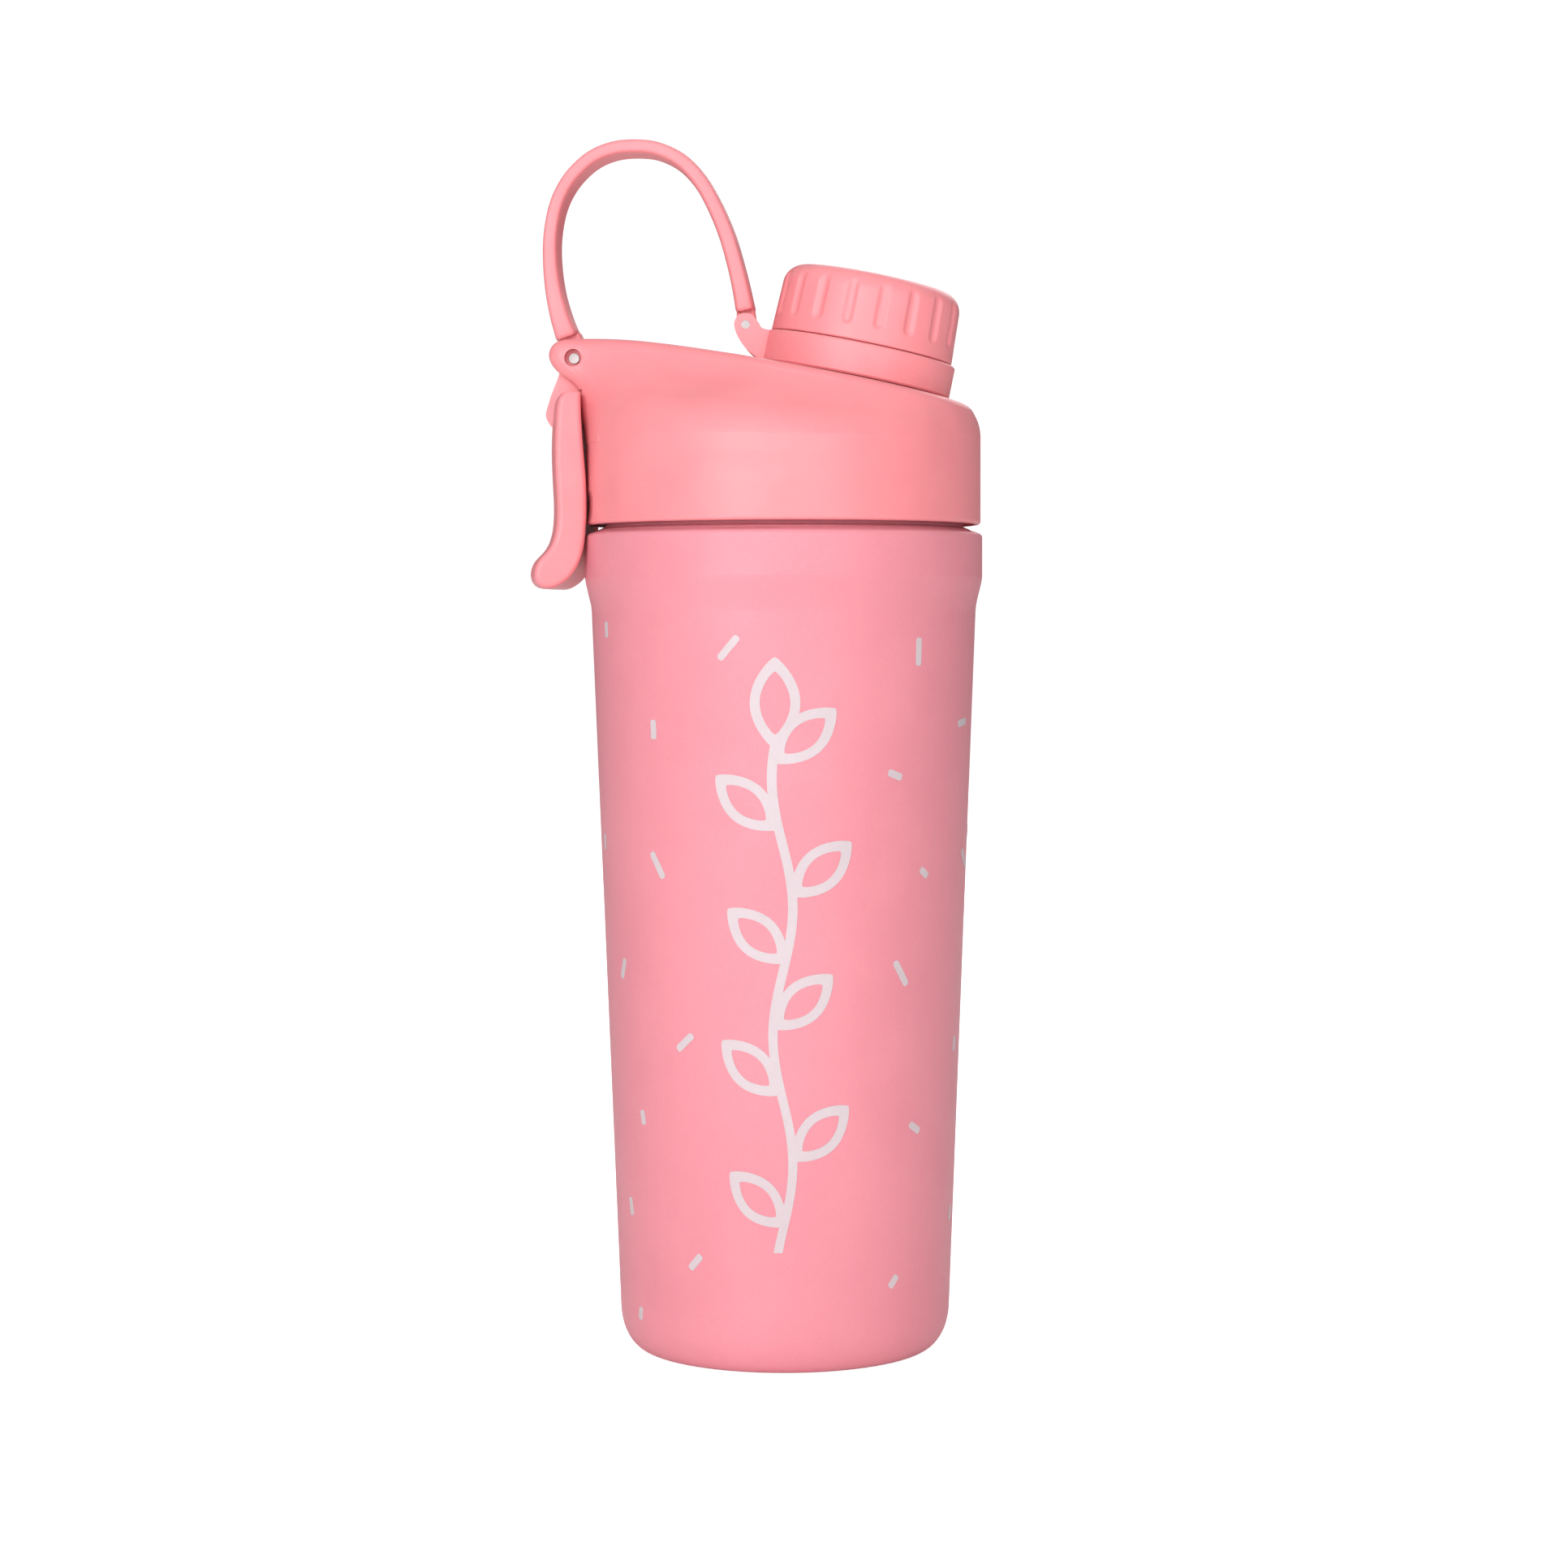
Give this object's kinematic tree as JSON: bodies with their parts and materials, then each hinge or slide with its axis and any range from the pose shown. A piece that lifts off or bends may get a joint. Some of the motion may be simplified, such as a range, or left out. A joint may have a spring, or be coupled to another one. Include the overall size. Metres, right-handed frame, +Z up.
{
  "type": "protein shaker bottle",
  "caption": "Tapered double-walled shaker bottle with a screw-on sloping lid, a leaning threaded pour spout and grooved cap, a tethering carry loop and a swing-out clip.",
  "frame": {"origin": "centre of the flat base, on the axis of the vessel", "axes": "+Z up along the vessel's axis, +X towards the pour spout, -X towards the hinge pin and the carry clip"},
  "size_m": [0.1031, 0.0908, 0.2762],
  "materials": {
    "shell_paint": "fine-grained powder coat",
    "steel": "satin",
    "getter_metal": "dull",
    "lid_plastic": "smooth satin moulding",
    "liner_plastic": "smooth satin moulding",
    "strap_plastic": "soft matte moulding",
    "seal": "silicone"
  },
  "bodies": {
    "vessel": {"outer_shell": "shell_paint", "inner_vessel": "steel", "base_disc": "shell_paint", "vacuum_getter": "getter_metal"},
    "lid_seal": {"lid_gasket": "seal"},
    "lid": {"lid_shell": "lid_plastic", "lid_liner": "liner_plastic", "spout": "liner_plastic", "main_hinge_pin": "steel"},
    "mixer": {"mixer_grid": "liner_plastic"},
    "ring": {"tether_ring": "lid_plastic", "ring_pin": "steel"},
    "cap": {"cap_shell": "lid_plastic", "cap_liner": "liner_plastic", "cap_gasket": "seal"},
    "loop_back": {"loop_rear": "strap_plastic"},
    "loop_fore": {"loop_front": "strap_plastic"},
    "clip": {"carry_clip": "lid_plastic"}
  },
  "joints": [
    {"name": "lid_lift", "type": "slide", "parent": "vessel", "child": "lid_seal", "axis": [0, 0, 1], "range_m": [0, 0.01801]},
    {"name": "lid_turn", "type": "hinge", "parent": "lid_seal", "child": "lid", "pos_m": [0, 0, 0.2], "axis": [0, 0, 1], "range_deg": [0, 1080]},
    {"name": "cap_lift", "type": "slide", "parent": "lid", "child": "ring", "axis": [0.1994, 0, 0.9799], "range_m": [0, 0.01201]},
    {"name": "cap_turn", "type": "hinge", "parent": "ring", "child": "cap", "pos_m": [0.0162, 0, 0.2208], "axis": [0.1994, 0, 0.9799], "range_deg": [0, 1080]},
    {"name": "loop_swing", "type": "hinge", "parent": "lid", "child": "loop_back", "pos_m": [-0.0469, 0, 0.2263], "axis": [0, 1, 0], "range_deg": [-11.42, 0]},
    {"name": "loop_flex", "type": "hinge", "parent": "loop_back", "child": "loop_fore", "pos_m": [-0.0331, 0, 0.2763], "axis": [0, 1, 0], "range_deg": [-7.27, 0]},
    {"name": "clip_swing", "type": "hinge", "parent": "lid", "child": "clip", "pos_m": [-0.0469, 0, 0.2263], "axis": [0, 1, 0], "range_deg": [0, 75]},
    {"name": "mixer_slide", "type": "slide", "parent": "lid", "child": "mixer", "axis": [0, 0, -1], "range_m": [0, 0.014]}
  ],
  "couplings": [
    {"joint": "lid_lift", "follows": "lid_turn", "m_per_rad": 0.00095493},
    {"joint": "cap_lift", "follows": "cap_turn", "m_per_rad": 0.00063662},
    {"joint": "loop_swing", "follows": "cap_turn", "ratio": -0.010525},
    {"joint": "loop_flex", "follows": "cap_turn", "ratio": -0.0066894}
  ]
}
